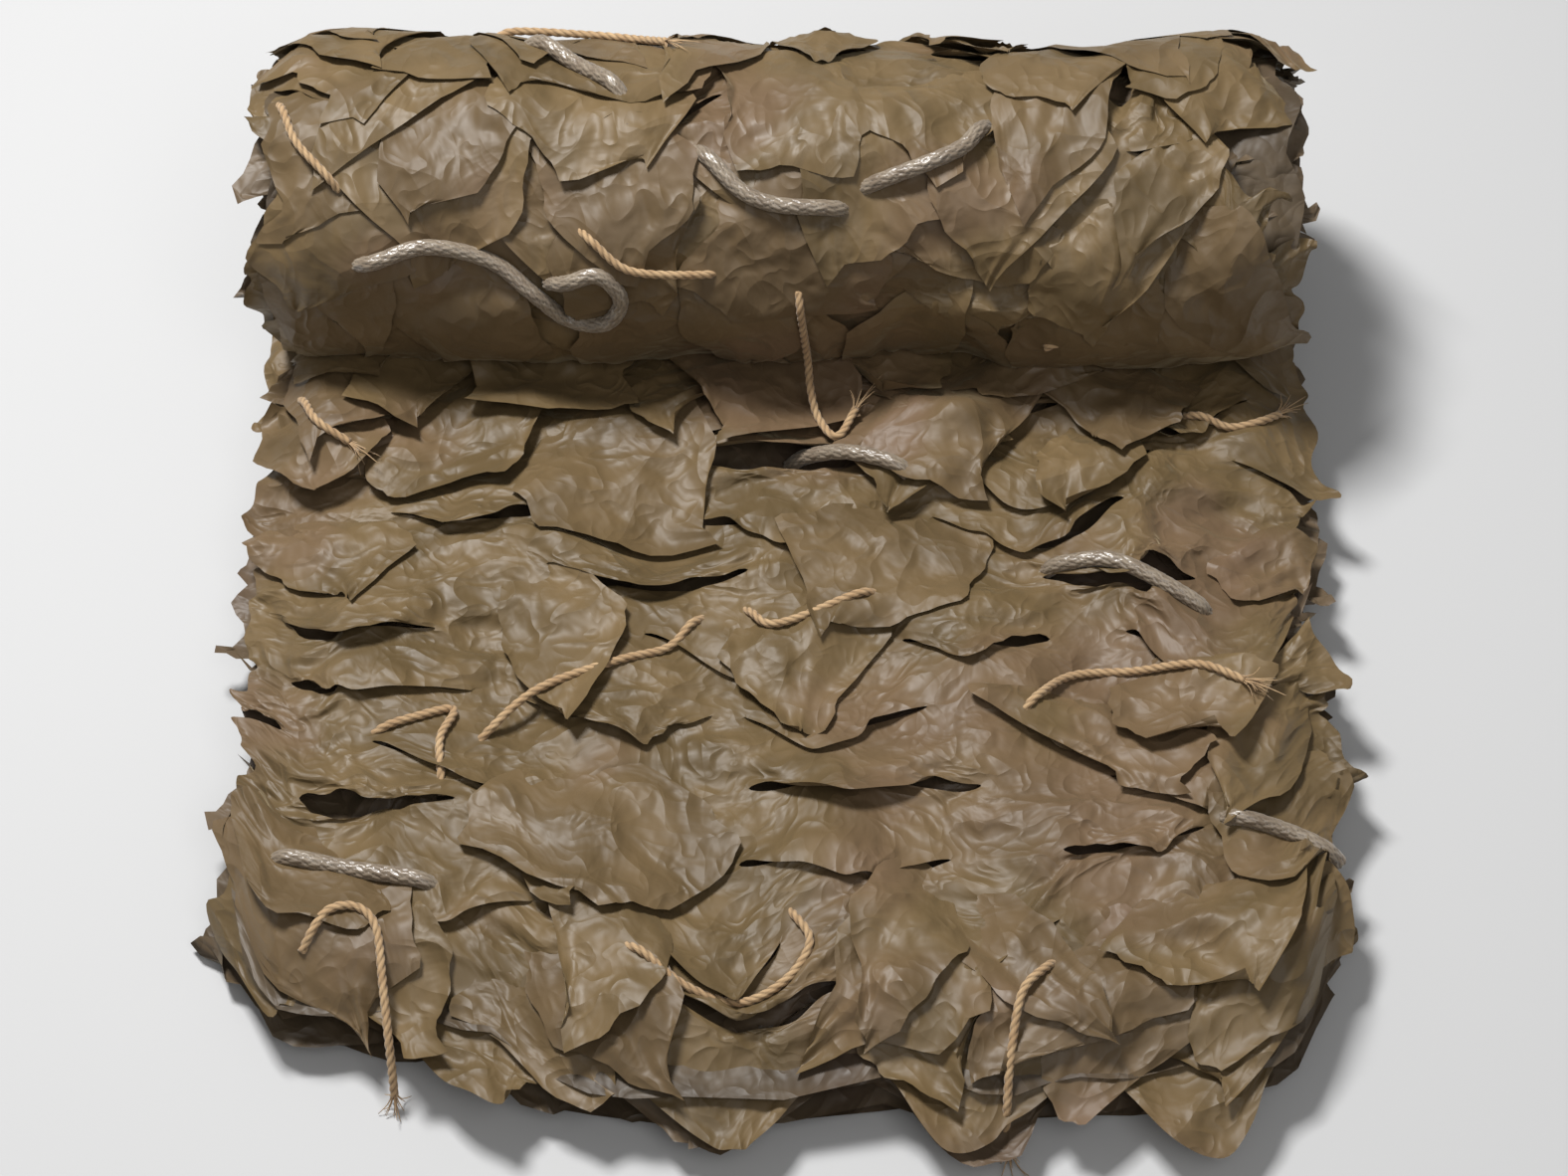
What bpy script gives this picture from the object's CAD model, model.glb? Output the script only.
"""The looks of a camouflage net that lies folded into a band and rolled up from its far end.

Leaf-cut satin cloth is cut with curved slits, settled by the cloth simulation on a flat bed, and the settled
cloth is then laid in layers over the open end and round the roll, with the plies under it and loose leaves
over it. The braided edge rope and the twine ties, some with frayed ends, lie on top.
"""

import logging
import math
import random
from dataclasses import dataclass, field
from enum import Enum
from typing import Iterable, Sequence

import bmesh
import bpy
import numpy as np
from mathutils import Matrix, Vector, noise
from mathutils.bvhtree import BVHTree


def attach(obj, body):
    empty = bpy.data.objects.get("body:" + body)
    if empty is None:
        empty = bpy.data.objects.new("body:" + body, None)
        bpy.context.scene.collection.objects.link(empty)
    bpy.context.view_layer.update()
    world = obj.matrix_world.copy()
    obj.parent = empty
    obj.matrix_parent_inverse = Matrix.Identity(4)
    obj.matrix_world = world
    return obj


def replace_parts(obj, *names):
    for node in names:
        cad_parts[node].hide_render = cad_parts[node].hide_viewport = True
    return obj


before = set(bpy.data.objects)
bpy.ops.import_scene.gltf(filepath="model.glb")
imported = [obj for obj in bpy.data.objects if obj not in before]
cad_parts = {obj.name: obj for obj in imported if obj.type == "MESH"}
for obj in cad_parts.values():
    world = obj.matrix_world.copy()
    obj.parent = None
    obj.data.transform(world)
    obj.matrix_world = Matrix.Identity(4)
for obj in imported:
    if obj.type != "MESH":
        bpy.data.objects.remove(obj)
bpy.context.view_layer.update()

MM = 0.001
LOG = logging.getLogger("camouflage_net")

# The band and its roll, as in the frame
BAND_WIDTH = 384 * MM
BAND_THICKNESS = 30 * MM
ROLL_AXIS_Y = 145 * MM
ROLL_AXIS_Z = 70 * MM
LOWEST_PLY_FRONT = -193 * MM
BOW = 26 * MM
BOW_ROUNDNESS = 3.2
LEFT_SETBACK = 18 * MM
LEFT_SETBACK_X = (-105 * MM, -75 * MM)
CORNER_SETBACK = 18 * MM
FRONT_RIPPLE = 3.5 * MM
SWELL = 3.0 * MM
LEAN = 3.0 * MM
ROLL_NARROWS = 0.012


def eased(value: float, low: float, high: float) -> float:
    """A smooth step.

    Args:
        value: Where to read it.
        low: The value below which it is 0.
        high: The value above which it is 1.

    Returns:
        The share, from 0 to 1.
    """
    share = min(1.0, max(0.0, (value - low) / (high - low)))
    return share * share * (3 - 2 * share)


def lie_unevenly(point: Vector) -> Vector:
    """Moves a point of the neat band to where the lumpy one lies, as the frame's solid does.

    Args:
        point: A point of the neat band.

    Returns:
        The point on the net.
    """
    x, y, z = point
    across = 2 * x / BAND_WIDTH
    height = min(1.0, max(0.0, z / BAND_THICKNESS))
    on_roll = eased(y, ROLL_AXIS_Y - 90 * MM, ROLL_AXIS_Y - 50 * MM)
    reach = BOW * (0.45 - min(1.3, abs(across)) ** BOW_ROUNDNESS)
    reach -= LEFT_SETBACK * (1 - eased(x, *LEFT_SETBACK_X))
    reach -= CORNER_SETBACK * eased(abs(across), 0.9, 1)
    reach += FRONT_RIPPLE * (math.sin(14 * across + 2.6) * height + math.sin(9 * across + 3))
    reach *= eased(-y, -60 * MM, 190 * MM)
    lumps = math.sin(math.tau * x / 0.113 + 1.1) * math.sin(math.tau * y / 0.128 + 0.4)
    lumps += 0.6 * math.sin(math.tau * x / 0.071 + 2.0 + 18 * y)
    lift = SWELL * lumps * height * (1 - 0.5 * on_roll)
    lean = on_roll * LEAN * math.sin(math.tau * x / 0.19 + 0.7) * min(1.0, z / ROLL_AXIS_Z)
    return Vector((x * (1 - ROLL_NARROWS * on_roll), y - reach + lean, z + lift))


# Shader building


class Signal:
    """A socket's value, on which Python's operators add Math nodes."""

    def __init__(self, shader: "Shader", socket: bpy.types.NodeSocket) -> None:
        """Wraps one output socket of a shader's node."""
        self.shader = shader
        self.socket = socket

    def _math(self, operation: str, *values: "Signal | float") -> "Signal":
        """Adds a Math node.

        Args:
            operation: The node's operation.
            values: Its inputs, in order.

        Returns:
            The node's value.
        """
        return self.shader.node("ShaderNodeMath", {"operation": operation}, dict(enumerate(values)))

    def __add__(self, other: "Signal | float") -> "Signal":
        """The sum."""
        return self._math("ADD", self, other)

    __radd__ = __add__

    def __sub__(self, other: "Signal | float") -> "Signal":
        """The difference."""
        return self._math("SUBTRACT", self, other)

    def __rsub__(self, other: float) -> "Signal":
        """The reflected difference."""
        return self._math("SUBTRACT", other, self)

    def __mul__(self, other: "Signal | float") -> "Signal":
        """The product."""
        return self._math("MULTIPLY", self, other)

    __rmul__ = __mul__

    def __abs__(self) -> "Signal":
        """The size without the sign."""
        return self._math("ABSOLUTE", self)

    def within(self, low: float, high: float) -> "Signal":
        """How far the value has come from low to high, smoothly, from 0 to 1."""
        return self.shader.node(
            "ShaderNodeMapRange",
            {"interpolation_type": "SMOOTHSTEP"},
            {"Value": self, "From Min": low, "From Max": high},
        )


class Shader:
    """A material's node tree, built around its Principled shader."""

    def __init__(self, name: str) -> None:
        """Starts a material of that name."""
        self.material = bpy.data.materials.new(name)
        self.material.use_nodes = True
        self.nodes = self.material.node_tree.nodes
        self.links = self.material.node_tree.links
        self.surface = self.nodes["Principled BSDF"]

    def node(self, kind: str, settings: dict, inputs: dict, output: int | str = 0) -> Signal:
        """Adds a node.

        Args:
            kind: The node's type.
            settings: Its own settings, set before its inputs.
            inputs: Values or signals for its sockets, by name or place.
            output: Which of its outputs is read.

        Returns:
            The output's value.
        """
        made = self.nodes.new(kind)
        for key, value in settings.items():
            setattr(made, key, value)
        for key, value in inputs.items():
            self.feed(made.inputs[key], value)
        return Signal(self, made.outputs[output])

    def feed(self, socket: bpy.types.NodeSocket, value: Signal | float | tuple) -> None:
        """Links a signal to a socket, or sets the socket's own value."""
        if isinstance(value, Signal):
            self.links.new(value.socket, socket)
        else:
            socket.default_value = value

    def set(self, **inputs: Signal | float | tuple) -> None:
        """Feeds the Principled shader's sockets, named with underscores for spaces."""
        for name, value in inputs.items():
            self.feed(self.surface.inputs[name.replace("_", " ")], value)

    def scaled(self, where: Signal, scale: tuple[float, float, float]) -> Signal:
        """The same coordinates, scaled."""
        return self.node("ShaderNodeMapping", {}, {"Vector": where, "Scale": scale})

    def mixed(self, share: Signal, first: Signal | tuple, second: Signal | tuple) -> Signal:
        """A colour between two.

        Args:
            share: How much of the second colour.
            first: The first colour.
            second: The second colour.

        Returns:
            The mixed colour.
        """
        return self.node(
            "ShaderNodeMix", {"data_type": "RGBA"}, {"Factor": share, 6: first, 7: second}, output=2
        )

    def noise(self, where: Signal, scale: float, detail: float = 2.0, distortion: float = 0.0) -> Signal:
        """Cloudy noise from 0 to 1."""
        return self.node(
            "ShaderNodeTexNoise",
            {},
            {"Vector": where, "Scale": scale, "Detail": detail, "Distortion": distortion},
        )


@dataclass(frozen=True)
class SatinCloth:
    """The leaf-cut cloth: thin olive-brown satin, creased and a little shiny."""

    name: str
    light: tuple[float, float, float]
    dark: tuple[float, float, float]
    rosy: tuple[float, float, float]
    roughness: float = 0.5
    sheen: float = 0.2
    weave_pitch: float = 0.0007
    creases: tuple[tuple[float, float], ...] = ((17.0, 1.6), (41.0, 1.1), (95.0, 0.45))

    def material(self) -> bpy.types.Material:
        """Builds the finish on the cloth's own UV map, whose unit is a metre."""
        shader = Shader(self.name)
        cloth = shader.node("ShaderNodeTexCoord", {}, {}, output="UV")
        place = shader.node("ShaderNodeTexCoord", {}, {}, output="Object")
        cloudy = shader.noise(cloth, 26.0, 3.0).within(0.36, 0.64)
        rosy = shader.noise(place, 11.0, 2.0).within(0.52, 0.68)
        tone = shader.node("ShaderNodeAttribute", {"attribute_name": "tone"}, {}, output="Fac")
        base = shader.mixed(cloudy * 0.7 + tone * 0.3, (*self.dark, 1), (*self.light, 1))
        base = shader.mixed((rosy + tone * -0.4) * 0.6, base, (*self.rosy, 1))
        warp = shader.node(
            "ShaderNodeTexWave",
            {"bands_direction": "X", "wave_profile": "SIN"},
            {"Vector": cloth, "Scale": 1 / self.weave_pitch / 6.283 * 0.31, "Distortion": 0.4},
            output="Fac",
        )
        weft = shader.node(
            "ShaderNodeTexWave",
            {"bands_direction": "DIAGONAL", "wave_profile": "SIN"},
            {"Vector": cloth, "Scale": 1 / self.weave_pitch / 6.283 * 0.31, "Distortion": 0.4},
            output="Fac",
        )
        weave = warp * weft
        soft = shader.noise(cloth, 38.0, 3.0, 0.8)
        creases = 0.0
        for scale, depth in self.creases:
            creases = creases + abs(shader.noise(cloth, scale, 0.5, 0.6) - 0.5) * depth
        relief = soft * 0.35 - creases
        bumped = shader.node(
            "ShaderNodeBump", {}, {"Strength": 0.7, "Distance": 0.008, "Height": relief}
        )
        bumped = shader.node(
            "ShaderNodeBump",
            {},
            {"Strength": 0.18, "Distance": 0.0003, "Height": weave, "Normal": bumped},
        )
        shader.set(
            Base_Color=base,
            Roughness=self.roughness + (soft - 0.5) * 0.2,
            Sheen_Weight=self.sheen,
            Sheen_Roughness=0.4,
            Sheen_Tint=(0.85, 0.68, 0.42, 1),
            Specular_IOR_Level=0.36,
            Normal=bumped,
        )
        return shader.material


@dataclass(frozen=True)
class Fibre:
    """The twine's and the rope's finish."""

    name: str
    light: tuple[float, float, float]
    dark: tuple[float, float, float]
    roughness: float
    specular: float
    sheen: float = 0.2

    def material(self) -> bpy.types.Material:
        """Builds the finish: strands of two tones with fine hairs, along the cord's own UV map."""
        shader = Shader(self.name)
        along = shader.node("ShaderNodeTexCoord", {}, {}, output="UV")
        place = shader.node("ShaderNodeTexCoord", {}, {}, output="Object")
        hairs = shader.noise(shader.scaled(along, (1400.0, 260.0, 1.0)), 1.0, 3.0)
        blotches = shader.noise(place, 160.0, 2.0)
        groove = shader.node("ShaderNodeAttribute", {"attribute_name": "groove"}, {}, output="Fac")
        share = (hairs * 0.5 + blotches * 0.5).within(0.3, 0.7)
        base = shader.mixed(share, (*self.dark, 1), (*self.light, 1))
        base = shader.mixed(groove, base, tuple(0.35 * c for c in self.dark) + (1,))
        bumped = shader.node("ShaderNodeBump", {}, {"Strength": 0.5, "Distance": 0.0004, "Height": hairs})
        shader.set(
            Base_Color=base,
            Roughness=self.roughness,
            Specular_IOR_Level=self.specular,
            Sheen_Weight=self.sheen,
            Normal=bumped,
        )
        return shader.material


SATIN = SatinCloth("net_satin", (0.165, 0.110, 0.050), (0.105, 0.070, 0.030), (0.160, 0.100, 0.060))
SHADED_SATIN = SatinCloth("net_satin_below", (0.14, 0.098, 0.058), (0.09, 0.062, 0.036), (0.13, 0.085, 0.06))
DEEP_SATIN = SatinCloth("net_satin_deep", (0.11, 0.078, 0.045), (0.06, 0.042, 0.025), (0.095, 0.062, 0.045))
TWINE = Fibre("tie_twine_fibre", (0.52, 0.36, 0.20), (0.36, 0.225, 0.115), 0.8, 0.25)
BRAID = Fibre("edge_rope_braid", (0.30, 0.245, 0.18), (0.17, 0.125, 0.085), 0.32, 0.8)


# The forms that settled cloth is laid on


def within_headroom(height: float, headroom: float) -> float:
    """A height that nears the headroom and never passes it, so that what lies higher stays higher."""
    return headroom * math.tanh(height / headroom)


def roll_radius(turn: float) -> float:
    """The outer radius of the loosely wound roll, at an angle from straight down."""
    return ROLL_AXIS_Z - BAND_THICKNESS * turn / math.tau


@dataclass
class TongueForm:
    """The open end's upper side: distance along it runs from the front edge to the crease."""

    level: float = 30 * MM
    front: float = -184 * MM
    rounding: float = 26 * MM
    droop: float = 12 * MM
    side_droop: float = 7 * MM
    headroom: float = 30 * MM

    def place(self, x: float, along: float, height: float) -> Vector:
        """Puts a point of the flat cloth on the open end.

        Args:
            x: Across the band.
            along: The distance from the front edge.
            height: How far the cloth lies off its bed.

        Returns:
            The point on the net.
        """
        fall = self.droop * (1 - eased(along, -10 * MM, self.rounding))
        fall += self.side_droop * eased(abs(x), BAND_WIDTH / 2 - 22 * MM, BAND_WIDTH / 2 + 8 * MM)
        fall = min(fall, self.level - 2 * MM)
        placed = lie_unevenly(Vector((x, self.front + along, self.level)))
        return placed + Vector((0, 0, within_headroom(height, self.headroom) - fall))


@dataclass
class RollForm:
    """The roll's outside: distance along it runs from the crease, over the top, to the floor behind."""

    lift: float = 0.0
    crease_turn: float = math.radians(322)
    lowest_turn: float = math.radians(14)
    side_droop: float = 5 * MM
    headroom: float = 12.5 * MM
    steps: int = 200
    turns: np.ndarray = field(init=False, repr=False)
    distances: np.ndarray = field(init=False, repr=False)

    def __post_init__(self) -> None:
        """Measures the distance round the roll."""
        self.turns = np.linspace(self.crease_turn, 0, self.steps)
        radii = np.array([roll_radius(turn) for turn in self.turns])
        stretch = (radii[1:] + radii[:-1]) / 2 * -np.diff(self.turns)
        self.distances = np.concatenate([[0.0], np.cumsum(stretch)])

    def length(self) -> float:
        """The distance from the crease to where the cloth goes under."""
        turned = self.crease_turn - self.turns
        return float(np.interp(self.crease_turn - self.lowest_turn, turned, self.distances))

    def place(self, x: float, along: float, height: float) -> Vector:
        """Puts a point of the flat cloth round the roll.

        Args:
            x: Across the band.
            along: The distance from the crease.
            height: How far the cloth lies off its bed.

        Returns:
            The point on the net.
        """
        turn = float(np.interp(along, self.distances, self.turns))
        fall = self.side_droop * eased(abs(x), BAND_WIDTH / 2 - 16 * MM, BAND_WIDTH / 2 + 8 * MM)
        radius = roll_radius(turn) + self.lift - fall
        way_out = Vector((0, math.sin(turn), -math.cos(turn)))
        middle = Vector((x, ROLL_AXIS_Y, ROLL_AXIS_Z)) + way_out * radius
        placed = lie_unevenly(middle) + way_out * within_headroom(height, self.headroom)
        placed.z = max(placed.z, 0.6 * MM)
        return placed


def joined_object(name: str, mesh: bpy.types.Mesh, finish: bpy.types.Material) -> bpy.types.Object:
    """Makes a mesh a piece of the net.

    Args:
        name: The piece's name.
        mesh: Its mesh, in place.
        finish: Its material.

    Returns:
        The piece, riding on the net's one body.
    """
    mesh.materials.clear()
    mesh.materials.append(finish)
    mesh.shade_smooth()
    piece = bpy.data.objects.new(name, mesh)
    bpy.context.scene.collection.objects.link(piece)
    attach(piece, "root")
    return piece


def smoothed(piece: bpy.types.Object, levels: int = 1) -> None:
    """Gives a piece a Subdivision Surface, the same in view and render."""
    modifier = piece.modifiers.new("soft", "SUBSURF")
    modifier.levels = levels
    modifier.render_levels = levels


def flat_grid(columns: int, rows: int) -> bmesh.types.BMesh:
    """A grid from 0 to 1 both ways, with a UV map, whose corners hold their column and row.

    Args:
        columns: How many faces across.
        rows: How many faces along.

    Returns:
        The grid, with integer layers "column" and "row".
    """
    cloth = bmesh.new()
    cloth.loops.layers.uv.new("cloth")
    bmesh.ops.create_grid(cloth, x_segments=columns, y_segments=rows, size=0.5, calc_uvs=True)
    bmesh.ops.translate(cloth, verts=cloth.verts, vec=(0.5, 0.5, 0))
    column, row = cloth.verts.layers.int.new("column"), cloth.verts.layers.int.new("row")
    for corner in cloth.verts:
        corner[column] = round(corner.co.x * columns)
        corner[row] = round(corner.co.y * rows)
    return cloth


def map_cloth(cloth: bmesh.types.BMesh) -> None:
    """Sets the UV map to where the corners are, in metres."""
    layer = cloth.loops.layers.uv.verify()
    for face in cloth.faces:
        for loop in face.loops:
            loop[layer].uv = loop.vert.co.xy


def flat_area(mesh: bpy.types.Mesh) -> float:
    """The area of a cloth as it was cut, from its UV map in metres."""
    uv = np.empty(len(mesh.loops) * 2)
    mesh.uv_layers[0].data.foreach_get("uv", uv)
    uv = uv.reshape(-1, 2)
    area = 0.0
    for face in mesh.polygons:
        spots = uv[face.loop_start : face.loop_start + face.loop_total]
        x, y = spots[:, 0], spots[:, 1]
        area += abs(float(np.dot(x, np.roll(y, -1)) - np.dot(y, np.roll(x, -1)))) / 2
    return area


# How much of the cut's width times length the cloth fills
FULLNESS = 0.85


def declare_cloth(piece: bpy.types.Object, width: float) -> None:
    """Declares a piece as a sheet of cloth of its flat area.

    Args:
        piece: The piece.
        width: How wide it was cut.
    """
    area = flat_area(piece.data)
    length = area / width / FULLNESS
    LOG.info("%s: %.2f m by %.2f m of cloth, %.3f square metres", piece.name, width, length, area)


# The leaf-cut cloth


@dataclass(frozen=True)
class Slit:
    """One curved cut across the cloth, whose middle dips towards the front to a rounded point."""

    row: int
    x: float
    length: float
    dip: float
    skew: float
    opening: float
    sharpness: float = 1.35
    looseness: float = 0.5

    def share(self, x: float) -> float:
        """How far x is from the slit's middle, as a share of its half length."""
        return abs(x - self.x) / (self.length / 2)

    def is_clear_of(self, other: "Slit") -> bool:
        """Whether there is a bridge of cloth between this slit and another of its row."""
        return abs(self.x - other.x) > (self.length + other.length) / 2 + 5 * MM

    def depth(self, x: float) -> float:
        """How far the cut dips at x."""
        side = (x - self.x) / (self.length / 2)
        if abs(side) >= 1:
            return 0.0
        from_tip = (side - self.skew) / (1 - self.skew if side > self.skew else 1 + self.skew)
        return self.dip * (1 - abs(from_tip) ** self.sharpness)


# The gaps that stand widest open: middle and length in mm, distance from the front edge in mm, opening in mm
WIDE_GAP_COLUMNS = ("x", "along", "length", "opening", "dip")
WIDE_GAPS = (
    (0, 240, 84, 17, 10),
    (-52, 196, 76, 12, 16),
    (128, 186, 72, 13, 14),
    (-158, 158, 60, 10, 18),
    (-148, 72, 66, 13, 12),
    (28, 96, 84, 10, 22),
    (-114, 212, 62, 9, 16),
    (122, 72, 56, 7, 16),
    (-12, 38, 62, 15, 14),
    (70, 150, 60, 5, 20),
    (-60, 128, 70, 5, 24),
)


@dataclass
class LeafCutCloth:
    """A length of the cloth with its cuts, settled loosely on a flat bed."""

    width: float = 400 * MM
    length: float = 640 * MM
    row_spacing: float = 40 * MM
    gather: float = 0.68
    gather_across: float = 0.955
    rows_of_mesh: int = 9
    columns: int = 98
    slit_pitch: float = 86 * MM
    rumple: float = 4.5 * MM
    lip: float = 11 * MM
    frames: int = 24
    quick_frames: int = 4
    seed: int = 3
    slits: dict[int, list[Slit]] = field(init=False, repr=False)

    def __post_init__(self) -> None:
        """Lays out the slits, brick fashion, with the wide gaps among them."""
        self.row_count = round(self.length / self.gather / self.row_spacing)
        chance = random.Random(self.seed)
        self.slits = {row: [] for row in range(self.row_count + 1)}
        for values in WIDE_GAPS:
            gap = dict(zip(WIDE_GAP_COLUMNS, values))
            row = round(gap["along"] * MM / self.gather / self.row_spacing)
            self.slits[row].append(
                Slit(row, gap["x"] * MM, gap["length"] * MM, gap["dip"] * MM, chance.uniform(-0.3, 0.3),
                     gap["opening"] * MM)
            )
        for row in range(self.row_count + 1):
            x = -self.width / 2 - self.slit_pitch * (0.5 if row % 2 else 1.0) * chance.uniform(0.8, 1.1)
            while x < self.width / 2 + self.slit_pitch / 2:
                slit = Slit(
                    row,
                    x + chance.uniform(-7, 7) * MM,
                    self.slit_pitch * chance.uniform(0.72, 0.9),
                    chance.uniform(14, 30) * MM,
                    chance.uniform(-0.55, 0.55),
                    0.0,
                    chance.uniform(0.85, 1.5),
                    chance.uniform(0.35, 1.05),
                )
                if all(slit.is_clear_of(other) for other in self.slits[row]):
                    self.slits[row].append(slit)
                x += self.slit_pitch * chance.uniform(0.92, 1.12)
            self.slits[row].sort(key=lambda one: one.x)

    def depth(self, row: int, x: float) -> float:
        """How far the cut of a row dips at x."""
        return sum(slit.depth(x) for slit in self.slits.get(row, ()))

    def slit_at(self, row: int, x: float) -> Slit | None:
        """The slit of a row that x is in."""
        return next((slit for slit in self.slits.get(row, ()) if slit.share(x) < 1), None)

    def cut(self) -> bmesh.types.BMesh:
        """Cuts the flat cloth.

        Returns:
            The cloth, flat at its full size, with its slits open at the edges.
        """
        rows = self.row_count * self.rows_of_mesh
        cloth = flat_grid(self.columns, rows)
        column, row = cloth.verts.layers.int["column"], cloth.verts.layers.int["row"]
        width = self.width / self.gather_across
        for corner in cloth.verts:
            x = (corner[column] / self.columns - 0.5) * self.width
            place = corner[row] / self.rows_of_mesh
            above = int(place)
            share = place - above
            dip = self.depth(above, x) * (1 - share) + self.depth(above + 1, x) * share
            rim = eased(abs(x), self.width * 0.4, self.width / 2)
            ragged = noise.noise(Vector((place * 1.7, math.copysign(4, x), self.seed))) * 16 * MM
            across = x * width / self.width + math.copysign(rim * ragged, x)
            corner.co = (across, place * self.row_spacing - dip, 0)
        map_cloth(cloth)
        cuts = []
        for edge in cloth.edges:
            first, second = edge.verts
            if first[row] == second[row] and first[row] % self.rows_of_mesh == 0:
                middle = ((first[column] + second[column]) / 2 / self.columns - 0.5) * self.width
                if self.slit_at(first[row] // self.rows_of_mesh, middle):
                    cuts.append(edge)
        bmesh.ops.split_edges(cloth, edges=cuts)
        return cloth

    def gathered(self, cloth: bmesh.types.BMesh) -> list[Vector]:
        """Works out where the cloth starts: drawn together, with each upper lip over the lower one.

        Between two ties one above the other the cloth bunches up. Elsewhere each strip keeps its size, so
        that its lower edge hangs over the strip below and its upper edge is tucked under the one above.

        Args:
            cloth: The cut cloth, flat.

        Returns:
            Each corner's start.
        """
        column, row = cloth.verts.layers.int["column"], cloth.verts.layers.int["row"]
        starts = []
        for corner in cloth.verts:
            x = (corner[column] / self.columns - 0.5) * self.width
            place = corner[row] / self.rows_of_mesh
            below = math.floor(place)
            if place == below and below > 0 and not self._is_upper_lip(corner):
                below -= 1
            share = place - below
            spot = corner.co
            along, height = self._strip_place(x, spot.y, below, share)
            rumple = noise.noise(spot * 24 + Vector((0, 0, self.seed))) * self.rumple
            rumple += noise.noise(spot * 60 + Vector((7, 0, self.seed))) * self.rumple * 0.5
            sway = noise.noise(spot * 28 + Vector((0, 9, self.seed))) * 4.0 * MM
            starts.append(Vector((spot.x * self.gather_across + sway, along, 5 * MM + height + rumple)))
        return starts

    def _strip_place(self, x: float, flat: float, below: int, share: float) -> tuple[float, float]:
        """Where a point of the strip between two rows of slits starts.

        Args:
            x: Across the band.
            flat: The point's distance along the flat cloth.
            below: The row on the strip's near side.
            share: How far the point is towards the far row, from 0 to 1.

        Returns:
            Its distance along the net and its height.
        """
        spacing, placed = self.row_spacing, self.row_spacing * self.gather
        near, far = self.slit_at(below, x), self.slit_at(below + 1, x)
        near_tied = min(1.0, near.share(x)) ** 2 if near else 1.0
        far_tied = min(1.0, far.share(x)) ** 2 if far else 1.0
        from_near = placed * below + flat - spacing * below
        from_far = placed * (below + 1) + flat - spacing * (below + 1)
        near_weight = near_tied * (1 - share * far_tied) + 1e-3
        far_weight = far_tied * (1 - (1 - share) * near_tied) + 1e-3
        along = (near_weight * from_near + far_weight * from_far) / (near_weight + far_weight)
        loose = near.looseness if near else 1.0
        drawn = placed * (below + share) - self.gather * (spacing * (below + share) - flat)
        along += (drawn - along) * (1 - loose)
        bunched = math.sin(math.pi * share) ** 2 * min(near_tied, far_tied) * 9 * MM
        lifted = self.lip * (1 - near_tied) * (1 - share) ** 1.3
        tucked = 0.25 * self.lip * (1 - far_tied) * share
        for slit, side, closeness in ((near, 1, 1 - share), (far, -1, share)):
            if slit and slit.opening > 0:
                edge = placed * slit.row + side * slit.opening / 2 * (1 - slit.share(x) ** 2)
                edge += flat - spacing * (below + share) if side > 0 else 0.0
                pull = closeness**1.5 * (1 - slit.share(x) ** 4)
                along += (edge + placed * (below + share - slit.row) * 0.5 - along) * pull
                lifted += 4 * MM * pull
        return along, bunched + lifted - tucked

    @staticmethod
    def _is_upper_lip(corner: bmesh.types.BMVert) -> bool:
        """Whether a corner on a cut is on the cut's far side."""
        middles = [face.calc_center_median().y for face in corner.link_faces]
        return sum(middles) / len(middles) > corner.co.y

    def _tie_places(self, cloth: bmesh.types.BMesh, chance: random.Random) -> list[int]:
        """The corners that are tied to the mesh under the cloth: most bridges between two slits."""
        column, row = cloth.verts.layers.int["column"], cloth.verts.layers.int["row"]
        ties = set()
        for number, slits in self.slits.items():
            for left, right in zip(slits, slits[1:]):
                if chance.random() < 0.8:
                    middle = (left.x + left.length / 2 + right.x - right.length / 2) / 2
                    ties.add((round((middle / self.width + 0.5) * self.columns), number * self.rows_of_mesh))
            for slit in slits:
                if slit.opening > 8 * MM:
                    ties.add((round((slit.x / self.width + 0.5) * self.columns), number * self.rows_of_mesh))
        return [corner.index for corner in cloth.verts if (corner[column], corner[row]) in ties]

    def settle(self) -> bpy.types.Mesh:
        """Cuts the cloth, draws it together and lets it settle by cloth simulation.

        Returns:
            The settled cloth: x across, y along from the front edge, z off its bed.
        """
        cloth = self.cut()
        cloth.verts.ensure_lookup_table()
        cloth.verts.index_update()
        flat = [corner.co.copy() for corner in cloth.verts]
        starts = self.gathered(cloth)
        ties = self._tie_places(cloth, random.Random(self.seed + 1))
        for corner, start in zip(cloth.verts, starts):
            corner.co = start
        mesh = bpy.data.meshes.new("settling")
        cloth.to_mesh(mesh)
        cloth.free()
        settling = bpy.data.objects.new("settling", mesh)
        bpy.context.scene.collection.objects.link(settling)
        settling.vertex_groups.new(name="ties").add(ties, 1.0, "ADD")
        settling.shape_key_add(name="start")
        rest = settling.shape_key_add(name="flat")
        rest.data.foreach_set("co", np.array(flat).ravel())
        rest.value = 0
        bed = self._bed()
        self._add_cloth(settling, rest)
        frames = self.frames
        for number in range(1, frames + 1):
            bpy.context.scene.frame_set(number)
        graph = bpy.context.evaluated_depsgraph_get()
        settled = bpy.data.meshes.new_from_object(settling.evaluated_get(graph), depsgraph=graph)
        for done in (settling, bed):
            bpy.data.objects.remove(done)
        bpy.context.scene.frame_set(1)
        LOG.info("settled %d corners of cloth, %d of them tied", len(settled.vertices), len(ties))
        return settled

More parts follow.
